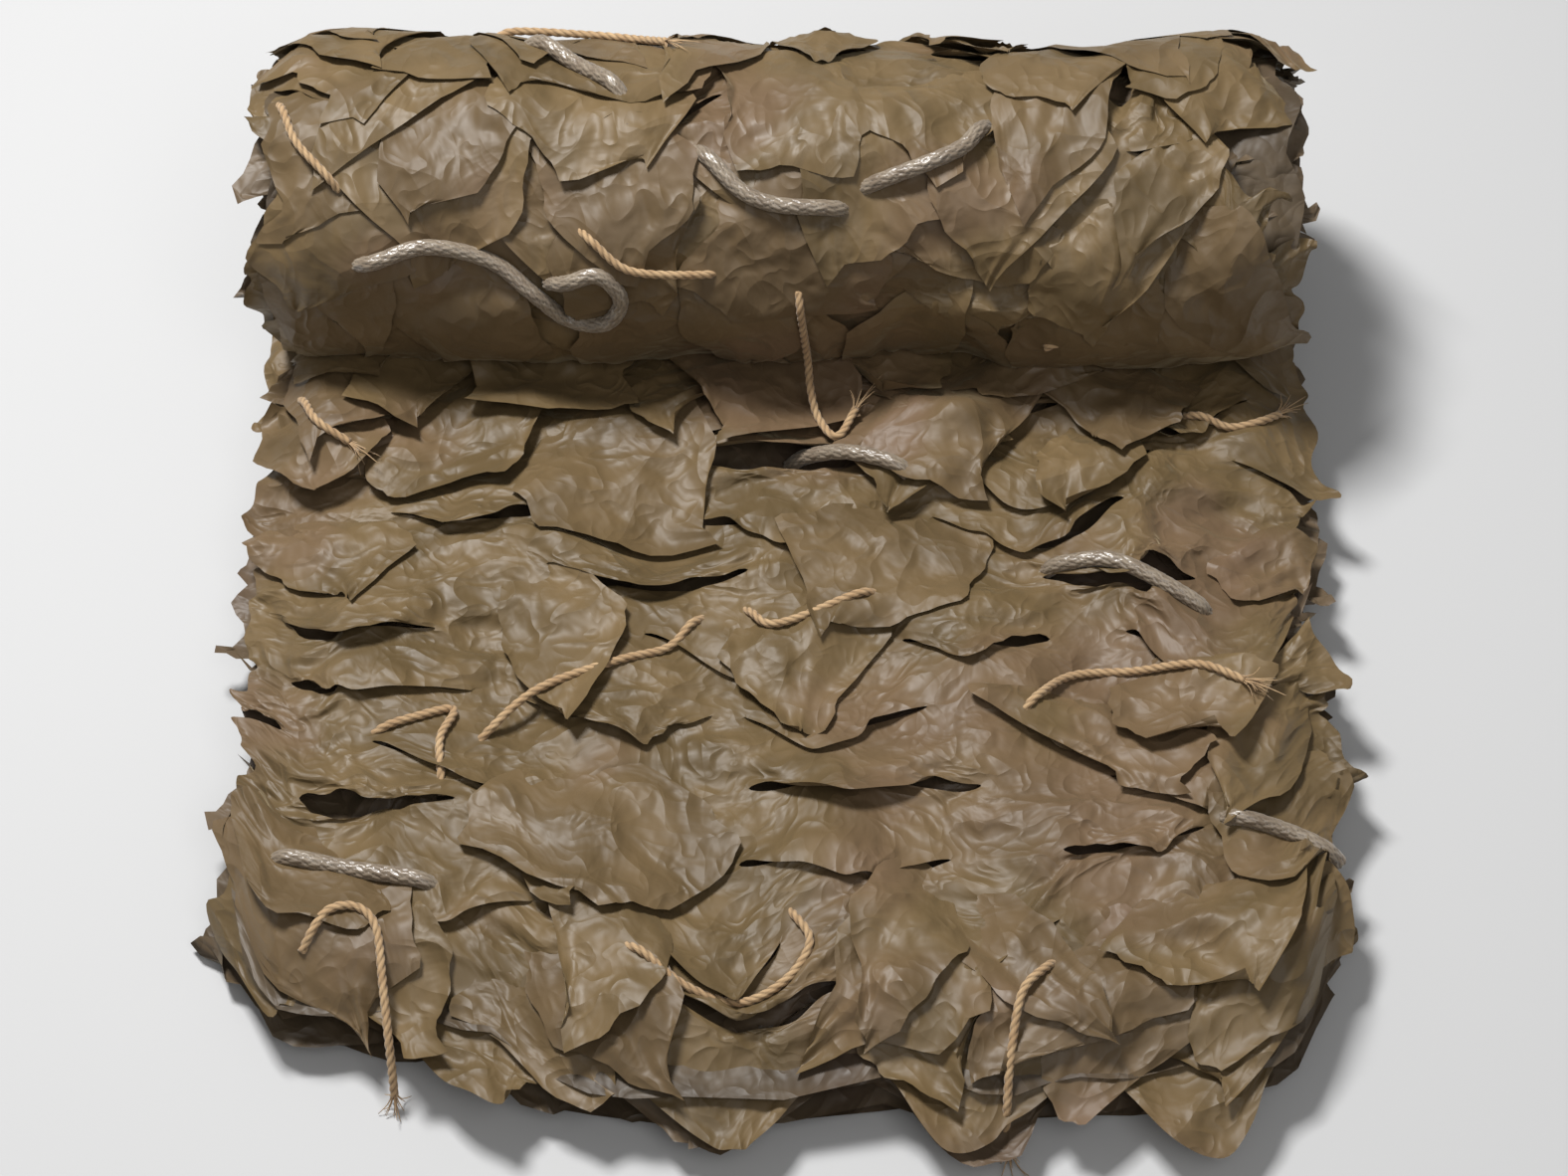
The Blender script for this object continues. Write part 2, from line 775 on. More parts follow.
    @staticmethod
    def _bed() -> bpy.types.Object:
        """The flat bed that the cloth settles on."""
        plane = bmesh.new()
        bmesh.ops.create_grid(plane, x_segments=4, y_segments=4, size=1.0)
        mesh = bpy.data.meshes.new("bed")
        plane.to_mesh(mesh)
        plane.free()
        bed = bpy.data.objects.new("bed", mesh)
        bpy.context.scene.collection.objects.link(bed)
        bed.modifiers.new("bed", "COLLISION")
        bed.collision.thickness_outer = 1 * MM
        bed.collision.cloth_friction = 20
        return bed

    @staticmethod
    def _add_cloth(settling: bpy.types.Object, rest: bpy.types.ShapeKey) -> None:
        """Adds the cloth simulation, crisp and light, that knows its flat size."""
        modifier = settling.modifiers.new("cloth", "CLOTH")
        settings = modifier.settings
        settings.quality = 5
        settings.effector_weights.gravity = 0.35
        settings.mass = 0.15
        settings.air_damping = 2
        settings.tension_stiffness = settings.compression_stiffness = 30
        settings.shear_stiffness = 5
        settings.bending_stiffness = 0.05
        settings.tension_damping = settings.compression_damping = settings.shear_damping = 6
        settings.vertex_group_mass = "ties"
        settings.pin_stiffness = 1
        settings.rest_shape_key = rest
        meeting = modifier.collision_settings
        meeting.distance_min = 1.5 * MM
        meeting.collision_quality = 2
        meeting.use_self_collision = True
        meeting.self_distance_min = 1.5 * MM
        meeting.self_friction = 5


# The least and the most x and distance along of a layer's height map
MAP_LOW = (-240 * MM, -80 * MM)
MAP_HIGH = (240 * MM, 420 * MM)


@dataclass
class Layer:
    """One layer of settled cloth laid on a form."""

    name: str
    form: TongueForm | RollForm
    start: int
    end: int
    finish: SatinCloth
    begins_at: float = 0.0
    mirrored: bool = False
    flatten: float = 1.0
    lift: float = 0.0
    levels: int = 1

    def build(self, settled: bpy.types.Mesh, materials: dict[str, bpy.types.Material]) -> bpy.types.Object:
        """Cuts the stretch from start to end out of the settled cloth and lays it.

        Args:
            settled: The settled cloth.
            materials: The materials by name.

        Returns:
            The piece.
        """
        cut = LeafCutCloth()
        cloth = bmesh.new()
        cloth.from_mesh(settled)
        row = cloth.verts.layers.int["row"]
        first, last = self.start * cut.rows_of_mesh, self.end * cut.rows_of_mesh
        beyond = [corner for corner in cloth.verts if not first <= corner[row] <= last]
        bmesh.ops.delete(cloth, geom=beyond, context="VERTS")
        for shapes in list(cloth.verts.layers.shape.values()):
            cloth.verts.layers.shape.remove(shapes)
        side = -1 if self.mirrored else 1
        for corner in cloth.verts:
            x, along, height = corner.co
            along = along - self.start * cut.row_spacing * cut.gather + self.begins_at
            corner.co = self.form.place(side * x, along, height * self.flatten + self.lift)
        if self.mirrored:
            bmesh.ops.reverse_faces(cloth, faces=cloth.faces)
        mesh = bpy.data.meshes.new(self.name)
        cloth.to_mesh(mesh)
        cloth.free()
        piece = joined_object(self.name, mesh, materials[self.finish.name])
        smoothed(piece, self.levels)
        declare_cloth(piece, cut.width / cut.gather_across)
        return piece


    def height_map(self, settled: bpy.types.Mesh) -> "HeightMap":
        """The height of this layer over its form."""
        cut = LeafCutCloth()
        spots = np.empty(len(settled.vertices) * 3)
        settled.vertices.foreach_get("co", spots)
        spots = spots.reshape(-1, 3)
        spots[:, 1] += self.begins_at - self.start * cut.row_spacing * cut.gather
        laid = HeightMap(MAP_LOW, MAP_HIGH)
        inside = (spots[:, 1] > MAP_LOW[1]) & (spots[:, 1] < MAP_HIGH[1])
        laid.raise_to(spots[inside][:, :2], spots[inside][:, 2] * self.flatten + self.lift)
        laid.soften(2)
        return laid


# The plies under the top one


@dataclass
class Ply:
    """One ply of the folded net, from the front, along the floor and round the roll to its inner end."""

    name: str
    depth: float
    finish: SatinCloth
    seed: int
    length_step: float = 5.5 * MM
    eye: float = 9 * MM
    lobe: float = 13 * MM
    across: int = 34
    ruffle: float = 2.2 * MM

    def middle_line(self) -> list[tuple[Vector, Vector]]:
        """The ply's line in the YZ plane, as points with the way out of the band at each."""
        level = BAND_THICKNESS - self.depth
        y = LOWEST_PLY_FRONT + 7 * MM + 4 * MM * math.sin(self.seed * 2.3)
        line = []
        while y < ROLL_AXIS_Y:
            line.append((Vector((0, y, level)), Vector((0, 0, 1))))
            y += self.length_step
        turn = 0.0
        radius = ROLL_AXIS_Z - level
        while radius > self.eye:
            way_in = Vector((0, -math.sin(turn), math.cos(turn)))
            centre = Vector((0, ROLL_AXIS_Y, ROLL_AXIS_Z))
            line.append((centre - way_in * radius, way_in))
            turn += self.length_step / radius
            radius = ROLL_AXIS_Z - level - BAND_THICKNESS * turn / math.tau
        return line

    def edge_reach(self, run: float, side: float) -> float:
        """How far the ply's leaves stick out of the band's end."""
        wave = (run / 0.043 + 0.37 * self.seed + 0.3 * noise.noise(Vector((run * 30, side, self.seed)))) % 1
        leaf = 1 - abs(2 * wave - 1) ** 1.3
        size = 0.45 + 0.75 * abs(noise.noise(Vector((run * 21, side * 3, self.seed * 1.7))))
        return self.lobe * leaf * size

    def build(self, materials: dict[str, bpy.types.Material]) -> bpy.types.Object:
        """Makes the ply.

        Args:
            materials: The materials by name.

        Returns:
            The piece.
        """
        line = self.middle_line()
        cloth = flat_grid(self.across, len(line) - 1)
        column, row = cloth.verts.layers.int["column"], cloth.verts.layers.int["row"]
        placed = []
        for corner in cloth.verts:
            share = 2 * corner[column] / self.across - 1
            spread = math.copysign(abs(share) ** 0.6, share)
            run = corner[row] * self.length_step
            reach = self.edge_reach(run, math.copysign(1, share))
            x = spread * (BAND_WIDTH / 2 - 6 * MM + reach * eased(abs(share), 0.55, 1))
            middle, way_out = line[corner[row]]
            spot = Vector((x, run, self.seed * 0.31))
            rough = noise.noise(spot * 33) + 0.5 * noise.noise(spot * 85)
            rim = eased(abs(share), 0.3, 1)
            height = rough * self.ruffle * (0.5 + rim) - rim * 1.5 * MM
            front = self.lobe * (noise.noise(Vector((x * 27, 5, self.seed))) + 0.3) * eased(-run, -30 * MM, 0)
            placed.append(lie_unevenly(middle + Vector((x, -front, 0))) + way_out * height)
            placed[-1].z = max(placed[-1].z, 0.6 * MM)
            corner.co = (x, run - front, 0)
        map_cloth(cloth)
        for corner, spot in zip(cloth.verts, placed):
            corner.co = spot
        mesh = bpy.data.meshes.new(self.name)
        cloth.to_mesh(mesh)
        cloth.free()
        piece = joined_object(self.name, mesh, materials[self.finish.name])
        declare_cloth(piece, BAND_WIDTH + 2 * self.lobe)
        return piece


PLY_DEPTHS = (5 * MM, 12.5 * MM, 17.5 * MM, 22.5 * MM, 27.5 * MM)


# The loose leaves


class HeightMap:
    """How high the cloth lies over its form so far, on a square grid, which each new leaf raises."""

    def __init__(self, low: tuple[float, float], high: tuple[float, float], cell: float = 3 * MM) -> None:
        """Starts at nothing.

        Args:
            low: The least x and distance along.
            high: The most x and distance along.
            cell: The grid's spacing.
        """
        self.low, self.cell = np.array(low), cell
        self.shape = tuple(int((b - a) / cell) + 1 for a, b in zip(low, high))
        self.heights = np.zeros(self.shape)

    def _cells(self, flat: np.ndarray) -> tuple[np.ndarray, np.ndarray]:
        """The cells that flat places are in."""
        cells = np.rint((flat - self.low) / self.cell).astype(int)
        return tuple(np.clip(cells[..., k], 0, self.shape[k] - 1) for k in range(2))

    def raise_to(self, flat: np.ndarray, heights: np.ndarray) -> None:
        """Raises the map to cloth that lies at flat places."""
        np.maximum.at(self.heights, self._cells(flat), heights)

    def read(self, flat: np.ndarray) -> np.ndarray:
        """The map at flat places."""
        return self.heights[self._cells(flat)]

    def soften(self, times: int) -> None:
        """Spreads the map over its neighbours, without lowering it."""
        for _ in range(times):
            around = np.pad(self.heights, 1, mode="edge")
            wide, long = self.shape
            mean = sum(around[i : i + wide, j : j + long] for i in range(3) for j in range(3)) / 9
            self.heights = np.maximum(self.heights, mean)


@dataclass(frozen=True)
class Leaf:
    """One leaf that lies over the others, with its root under them and its tip towards the front."""

    x: float
    along: float
    length: float
    width: float
    turn: float
    skew: float
    lift: float
    seed: int

    def outline(self, across: np.ndarray, share: np.ndarray) -> np.ndarray:
        """Where its points lie on the flat cloth.

        Args:
            across: From -1 at its left edge to 1 at its right.
            share: From 0 at its root to 1 at its tip.

        Returns:
            The flat places, (x, along).
        """
        chance = random.Random(self.seed)
        knots = (0, chance.uniform(0.2, 0.35), chance.uniform(0.45, 0.65), chance.uniform(0.75, 0.88), 1)
        sides = []
        for _ in range(2):
            widths = (
                chance.uniform(0.2, 0.6),
                chance.uniform(0.7, 1.05),
                chance.uniform(0.75, 1.1),
                chance.uniform(0.25, 0.75),
                chance.choice((0.02, 0.02, 0.25)),
            )
            sides.append(np.interp(share, knots, widths))
        half = np.where(across < 0, sides[0], sides[1])
        ragged = np.sin(share * 17 + self.seed) * 0.03 + np.sin(share * 31 + 2.1 * self.seed) * 0.02
        to_tip = np.clip((share - knots[2]) / (1 - knots[2]), 0, 1)
        x = (across * (half + ragged) + self.skew * to_tip) * self.width / 2
        along = (0.42 - share) * self.length + 0.14 * self.length * across * math.sin(self.seed * 1.3)
        cosine, sine = math.cos(self.turn), math.sin(self.turn)
        return np.stack([self.x + cosine * x - sine * along, self.along + sine * x + cosine * along], -1)

    def covers(self, x: float, along: float) -> bool:
        """Whether it lies over a place, near enough."""
        away = math.hypot(x - self.x, along - self.along)
        return away < (self.length + self.width) * 0.25

    def rise(self, across: np.ndarray, share: np.ndarray) -> np.ndarray:
        """How far its points stand off the cloth below."""
        chance = random.Random(self.seed)
        rise = -2.2 * MM + 4.0 * MM * np.clip(share / 0.3, 0, 1)
        rise = rise + self.lift * share**3
        rise = rise + chance.uniform(-1.0, 3.5) * MM * np.abs(across) ** 3 * share
        for _ in range(6):
            angle, offset = chance.uniform(0, math.pi), chance.uniform(-0.7, 0.7)
            narrow = chance.uniform(2.5, 6.0)
            fold = (across * math.cos(angle) + (2 * share - 1) * math.sin(angle)) - offset
            crest = np.maximum(0, 1 - np.abs(fold) * narrow)
            rise = rise + chance.uniform(-1.6, 2.4) * MM * crest * np.clip(share * 3, 0.2, 1)
        return rise


@dataclass
class LooseLeaves:
    """The leaves of the outermost cloth on one form, laid one after another."""

    name: str
    form: TongueForm | RollForm
    finish: SatinCloth
    first: float
    last: float
    row_spacing: float = 25 * MM
    pitch: float = 57 * MM
    reach: float = 186 * MM
    furthest_tip: float = -16 * MM
    seed: int = 5
    fineness: int = 20
    clear_of: Sequence[tuple[float, float]] = ()

    def leaves(self) -> list[Leaf]:
        """Chooses the leaves, from the front to the back."""
        chance = random.Random(self.seed)
        found = []
        along, number = self.first, 0
        while along < self.last:
            x = -self.reach - self.pitch * (0.5 if number % 2 else 0.0) * chance.uniform(0.8, 1.2)
            while x < self.reach + 10 * MM:
                length, width = chance.uniform(38, 80) * MM, chance.uniform(38, 100) * MM
                limit = self.reach + 12 * MM - width / 2
                leaf = Leaf(
                    min(limit, max(-limit, x + chance.uniform(-9, 9) * MM)),
                    max(
                        along + chance.uniform(-9, 9) * MM,
                        self.furthest_tip + chance.uniform(0.5, 0.7) * length,
                    ),
                    length,
                    width,
                    math.radians(chance.gauss(0, 30)),
                    chance.uniform(-0.6, 0.6),
                    max(-1.0, chance.gauss(2.5, 2.8)) * MM,
                    chance.randrange(10_000),
                )
                open_here = any(leaf.covers(*gap) for gap in self.clear_of)
                if not open_here and chance.random() < 0.9:
                    found.append(leaf)
                x += self.pitch * chance.uniform(0.8, 1.2)
            along += self.row_spacing * chance.uniform(0.85, 1.15)
            number += 1
        return sorted(found, key=lambda leaf: leaf.along)

    def build(self, below: HeightMap, materials: dict[str, bpy.types.Material]) -> bpy.types.Object:
        """Makes the leaves, each on those already there.

        Args:
            below: The height of the cloth they lie on.
            materials: The materials by name.

        Returns:
            The piece.
        """
        whole = bmesh.new()
        for leaf in self.leaves():
            self._add(whole, leaf, below)
        mesh = bpy.data.meshes.new(self.name)
        whole.to_mesh(mesh)
        whole.free()
        piece = joined_object(self.name, mesh, materials[self.finish.name])
        declare_cloth(piece, BAND_WIDTH)
        return piece

    def _add(self, whole: bmesh.types.BMesh, leaf: Leaf, below: HeightMap) -> None:
        """Adds one leaf to the mesh and to the height map."""
        n = self.fineness
        grid = flat_grid(n, n)
        column, row = grid.verts.layers.int["column"], grid.verts.layers.int["row"]
        tone = grid.verts.layers.float.new("tone")
        across, share = np.meshgrid(np.linspace(-1, 1, n + 1), np.linspace(0, 1, n + 1), indexing="ij")
        flat = leaf.outline(across, share)
        floor = below.read(flat)
        level = floor.copy()
        for _ in range(6):
            around = np.pad(level, 1, mode="edge")
            mean = (around[:-2, 1:-1] + around[2:, 1:-1] + around[1:-1, :-2] + around[1:-1, 2:]) / 4
            level = np.maximum(mean, floor * 0.75 + mean * 0.25)
        height = level + leaf.rise(across, share)
        below.raise_to(flat, height)
        chance = random.Random(leaf.seed)
        shade, shift, spin = chance.uniform(-1, 1), chance.uniform(0, 3), chance.uniform(-0.5, 0.5)
        for corner in grid.verts:
            i, j = corner[column], corner[row]
            x, along = flat[i, j]
            cosine, sine = math.cos(spin), math.sin(spin)
            corner.co = (x * cosine - along * sine + shift, x * sine + along * cosine + shift, 0)
            corner[tone] = shade
        map_cloth(grid)
        for corner in grid.verts:
            i, j = corner[column], corner[row]
            corner.co = self.form.place(float(flat[i, j, 0]), float(flat[i, j, 1]), float(height[i, j]))
        bmesh.ops.reverse_faces(grid, faces=grid.faces)
        made = bpy.data.meshes.new("leaf")
        grid.to_mesh(made)
        grid.free()
        whole.from_mesh(made)
        bpy.data.meshes.remove(made)


# The cords


class End(Enum):
    """How a cord ends."""

    TUCKED = "goes under the cloth"
    FRAYED = "is loose and frays"


class Surface:
    """The laid cloth, for the cords to lie on."""

    def __init__(self, pieces: Iterable[bpy.types.Object]) -> None:
        """Reads the pieces as they show."""
        graph = bpy.context.evaluated_depsgraph_get()
        self.trees = [BVHTree.FromObject(piece, graph) for piece in pieces]

    def top(self, above: Vector, way_down: Vector) -> Vector | None:
        """The first point of the cloth on the way down.

        Args:
            above: Where the search starts.
            way_down: Its direction.

        Returns:
            The point, or None where there is no cloth.
        """
        hits = [tree.ray_cast(above, way_down, 90 * MM) for tree in self.trees]
        found = [(hit[3], hit[0]) for hit in hits if hit[0] is not None]
        return min(found, key=lambda hit: hit[0])[1] if found else None


@dataclass(frozen=True)
class Place:
    """A point that a cord goes through: where the search for the cloth starts, and the way down to it."""

    above: Vector
    way_down: Vector
    fixed: bool = False

    def on(self, surface: Surface, clearance: float) -> Vector:
        """The point itself: on the cloth, unless it is fixed in the air."""
        if self.fixed:
            return self.above.copy()
        spot = surface.top(self.above, self.way_down)
        if spot is None:
            spot = self.above + self.way_down * 40 * MM
        return spot - self.way_down * clearance


def on_tongue(*places: tuple[float, float]) -> list[Place]:
    """Places on the open end, given as (x, y) in millimetres."""
    return [Place(Vector((x * MM, y * MM, 70 * MM)), Vector((0, 0, -1))) for x, y in places]


def on_roll(*places: tuple[float, float]) -> list[Place]:
    """Places on the roll, given as x in millimetres and the turn from straight down in degrees."""
    found = []
    for x, degrees in places:
        turn = math.radians(degrees)
        way_out = Vector((0, math.sin(turn), -math.cos(turn)))
        centre = Vector((x * MM, ROLL_AXIS_Y, ROLL_AXIS_Z))
        found.append(Place(centre + way_out * (roll_radius(turn) + 30 * MM), -way_out))
    return found


def in_air(*places: tuple[float, float, float]) -> list[Place]:
    """Places off the cloth, given as (x, y, z) in millimetres."""
    return [Place(Vector(place) * MM, Vector((0, 0, -1)), True) for place in places]


def smooth_curve(points: Sequence[Vector], step: float) -> list[Vector]:
    """The smooth curve through points.

    Args:
        points: The points.
        step: How far apart the curve's own points are, at most.

    Returns:
        The curve's points.
    """
    ends = [2 * points[0] - points[1], *points, 2 * points[-1] - points[-2]]
    curve = []
    for a, b, c, d in zip(ends, ends[1:], ends[2:], ends[3:]):
        count = max(2, math.ceil((c - b).length / step))
        for i in range(count):
            t = i / count
            linear, square, cube = c - a, 2 * a - 5 * b + 4 * c - d, 3 * b - a - 3 * c + d
            curve.append(b + 0.5 * (linear * t + square * t**2 + cube * t**3))
    return [*curve, points[-1]]


def evenly(points: Sequence[Vector], step: float) -> list[Vector]:
    """The same line with its points evenly apart."""
    line = np.array(points)
    run = np.concatenate([[0.0], np.cumsum(np.linalg.norm(np.diff(line, axis=0), axis=1))])
    wanted = np.linspace(0, run[-1], max(3, round(run[-1] / step)))
    return [Vector(spot) for spot in np.stack([np.interp(wanted, run, line[:, k]) for k in range(3)], 1)]


def line_length(points: Sequence[Vector]) -> float:
    """The length of a line of points."""
    return sum((b - a).length for a, b in zip(points, points[1:]))


@dataclass(frozen=True)
class Lay:
    """How a cord's strands lie: how far they bulge and how they go round."""

    strands: int
    pitch: float
    relief: float
    braided: bool = False

    def bulge(self, around: float, along: float) -> float:
        """How high the strands stand at a place of the cord's surface.

        Args:
            around: The angle round the cord.
            along: The distance along it.

        Returns:
            From 0 in a groove to 1 on a strand.
        """
        turn = math.tau * along / self.pitch
        if not self.braided:
            return abs(math.cos(0.5 * (self.strands * around - self.strands * turn)))
        rising, falling = self.strands * around + turn, self.strands * around - turn
        over = (math.floor(rising / math.pi) + math.floor(falling / math.pi)) % 2
        across = rising if over else falling
        ridge = abs(math.sin(across))
        return ridge**0.6


# How far a tucked end runs on under the cloth, and how deep, in millimetres
TUCK_LENGTH = 7
TUCK_DEPTH = 5
FRAYED_YARNS = 16
YARN_RADIUS = 0.35 * MM
TWINE_LAY = Lay(3, 10.5 * MM, 0.30)
BRAID_LAY = Lay(4, 13 * MM, 0.24, braided=True)


def add_tube(
    tube: bmesh.types.BMesh,
    line: Sequence[Vector],
    radius: float,
    sides: int,
    lay: Lay | None,
    taper: float = 0.0,
) -> None:
    """Adds a round cord along a line to a mesh.

    Args:
        tube: The mesh.
        line: The cord's middle line.
        radius: Its radius.
        sides: How many sides it has.
        lay: How its strands lie, or None for a plain one.
        taper: How much thinner its far end is, as a share.
    """
    grid = flat_grid(sides, len(line) - 1)
    column, row = grid.verts.layers.int["column"], grid.verts.layers.int["row"]
    groove = grid.verts.layers.float.new("groove")
    ahead = [(b - a).normalized() for a, b in zip(line, line[1:])]
    ahead.append(ahead[-1])
    side = ahead[0].orthogonal().normalized()
    frames, runs, run = [], [], 0.0
    for i, way in enumerate(ahead):
        side = (side - way * side.dot(way)).normalized()
        frames.append((side, way.cross(side)))
        runs.append(run)
        run += (line[i + 1] - line[i]).length if i + 1 < len(line) else 0.0
    uv = grid.loops.layers.uv.verify()
    for corner in grid.verts:
        i, around = corner[row], math.tau * corner[column] / sides
        bulge = lay.bulge(around, runs[i]) if lay else 1.0
        high = 1 - (lay.relief if lay else 0.0) * (1 - bulge)
        reach = radius * high * (1 - taper * i / (len(line) - 1))
        across, up = frames[i]
        corner.co = line[i] + (across * math.cos(around) + up * math.sin(around)) * reach
        corner[groove] = (1 - bulge) ** 2
    for face in grid.faces:
        for loop in face.loops:
            share = loop[uv].uv.x
            loop[uv].uv = (share * math.tau * radius, runs[loop.vert[row]])
    bmesh.ops.remove_doubles(grid, verts=grid.verts, dist=1e-6)
    bmesh.ops.holes_fill(grid, edges=[edge for edge in grid.edges if edge.is_boundary], sides=sides)
    bmesh.ops.recalc_face_normals(grid, faces=grid.faces)
    made = bpy.data.meshes.new("tube")
    grid.to_mesh(made)
    grid.free()
    tube.from_mesh(made)
    bpy.data.meshes.remove(made)


@dataclass
class Cord:
    """One cord that lies on the net."""

    name: str
    route: list[Place]
    diameter: float
    lay: Lay
    finish: Fibre
    slot: str
    sides: int
    start: End = End.TUCKED
    end: End = End.TUCKED
    step: float = 0.9 * MM
    sink: float = 0.0
    line: list[Vector] = field(init=False, repr=False, default_factory=list)

    def lie(self, surface: Surface) -> None:
        """Lays the cord on the cloth, with its tucked ends going under it."""
        clearance = self.diameter / 2 - self.sink
        spots = [place.on(surface, clearance) for place in self.route]
        for first, second, how in ((0, 1, self.start), (-1, -2, self.end)):
            if how is End.TUCKED:
                away = (spots[first] - spots[second]).normalized()
                under = spots[first] + away * TUCK_LENGTH * MM + self.route[first].way_down * TUCK_DEPTH * MM
                spots.insert(0, under) if first == 0 else spots.append(under)
        line = evenly(smooth_curve(spots, 2 * MM), self.step)
        for _ in range(5):
            line = [line[0], *[(a + 2 * b + c) / 4 for a, b, c in zip(line, line[1:], line[2:])], line[-1]]
        self.line = line

    def build(self, surface: Surface, materials: dict[str, bpy.types.Material]) -> bpy.types.Object:
        """Makes the cord.

        Args:
            surface: The cloth it lies on.
            materials: The materials by name.

        Returns:
            The piece.
        """
        self.lie(surface)
        tube = bmesh.new()
        add_tube(tube, self.line, self.diameter / 2, self.sides, self.lay)
        mesh = bpy.data.meshes.new(self.name)
        tube.to_mesh(mesh)
        tube.free()
        piece = joined_object(self.name, mesh, materials[self.finish.name])
        line_length(self.line)
        return piece

    def frays(self, chance: random.Random) -> list[list[Vector]]:
        """The loose yarns at the cord's frayed ends.

        Args:
            chance: Where their lengths and ways come from.

        Returns:
            Each yarn's line.
        """
        found = []
        for tip, inner, how in ((0, 3, self.start), (-1, -4, self.end)):
            if how is not End.FRAYED:
                continue
            end, way = self.line[tip], (self.line[tip] - self.line[inner]).normalized()
            for _ in range(FRAYED_YARNS):
                side = Vector([chance.uniform(-1, 1) for _ in range(3)])
                length = chance.uniform(6, 13) * MM
                start = end - way * MM + side * 0.5 * MM
                middle = start + way * length * 0.5 + side * length * 0.22
                tip_spot = middle + way * length * 0.4 + (side + Vector((0, 0, -0.4))) * length * 0.35
                for spot in (middle, tip_spot):
                    spot.z = max(spot.z, 1 * MM)
                found.append(smooth_curve([start, middle, tip_spot], 2 * MM))
        return found


def rope(name: str, route: list[Place]) -> Cord:
    """A stretch of the braided edge rope."""
    return Cord(name, route, 6 * MM, BRAID_LAY, BRAID, "rope_braid", 40, step=0.5 * MM, sink=1.0 * MM)


def tie(name: str, route: list[Place], start: End = End.TUCKED, end: End = End.TUCKED) -> Cord:
    """A twine tie."""
    return Cord(name, route, 3.2 * MM, TWINE_LAY, TWINE, "tie_twine", 15, start, end, sink=0.2 * MM)


ROPES = (
    rope("edge_rope_loop", on_roll((-150, 236), (-131, 231), (-108, 237), (-92, 250), (-80, 263), (-66, 262),
                                   (-60, 250), (-68, 240), (-80, 243))),
    rope("edge_rope_crease", on_tongue((-70, 110), (-52, 107), (-26, 110), (5, 109), (32, 106), (54, 106))),
    rope("edge_rope_roll_left", on_roll((-27, 200), (-16, 211), (-3, 216), (16, 217))),
    rope("edge_rope_roll_right", on_roll((34, 208), (52, 203), (65, 197), (71, 190))),
    rope("edge_rope_roll_top", on_roll((-90, 150), (-77, 159), (-64, 171))),
    rope("edge_rope_tongue_middle", on_tongue((8, 60), (23, 56), (40, 49))),
    rope("edge_rope_tongue_right", on_tongue((103, 7), (122, 4), (148, -9))),
    rope("edge_rope_tongue_left", on_tongue((-170, -119), (-150, -122), (-127, -127))),
    rope("edge_rope_side", on_tongue((160, -103), (176, -106), (188, -111))),
)

TIES = (
    tie("tie_over_crease", [*on_roll((6, 257), (7, 268)), *in_air((9, 90, 52), (10, 83, 44)),
                            *on_tongue((13, 74), (20, 64), (27, 78))], end=End.FRAYED),
    tie("tie_roll_left", on_roll((-183, 184), (-178, 195), (-167, 206))),
    tie("tie_roll_top", on_roll((-103, 136), (-73, 133), (-56, 137), (-44, 148)), end=End.FRAYED),
    tie("tie_roll_front", on_roll((-69, 229), (-56, 238), (-30, 241))),
    tie("tie_crease_right", on_tongue((104, 88), (119, 89), (137, 92), (152, 95))),
    tie("tie_side_right", on_tongue((158, 76), (168, 72), (180, 74), (188, 80)), end=End.FRAYED),
    tie("tie_left_frayed", on_tongue((-180, 75), (-174, 63), (-162, 57)), end=End.FRAYED),
    tie("tie_middle", on_tongue((-12, -13), (-6, -20), (5, -17), (27, -8))),
    tie("tie_long_left", on_tongue((-106, -64), (-88, -49), (-60, -36), (-42, -28), (-34, -18))),
    tie("tie_left", on_tongue((-142, -62), (-131, -58), (-118, -53), (-122, -68), (-121, -82))),
    tie("tie_right", on_tongue((90, -53), (104, -38), (126, -37), (148, -41), (164, -49)), end=End.FRAYED),
    tie("tie_big_loop", on_tongue((-48, -159), (-33, -169), (-15, -172), (1, -163), (9, -150), (4, -140))),
    tie("tie_front_left", [*on_tongue((-160, -150), (-155, -143), (-146, -141), (-139, -148)),
                           *in_air((-136, -167, 36), (-134, -182, 27), (-133, -191, 15), (-133, -194, 7))],
        end=End.FRAYED),
    tie("tie_front_right", [*on_tongue((88, -164), (80, -174)),
                            *in_air((76, -193, 33), (75, -205, 23), (75, -210, 13), (76, -214, 6))],
        end=End.FRAYED),
)


# The studio


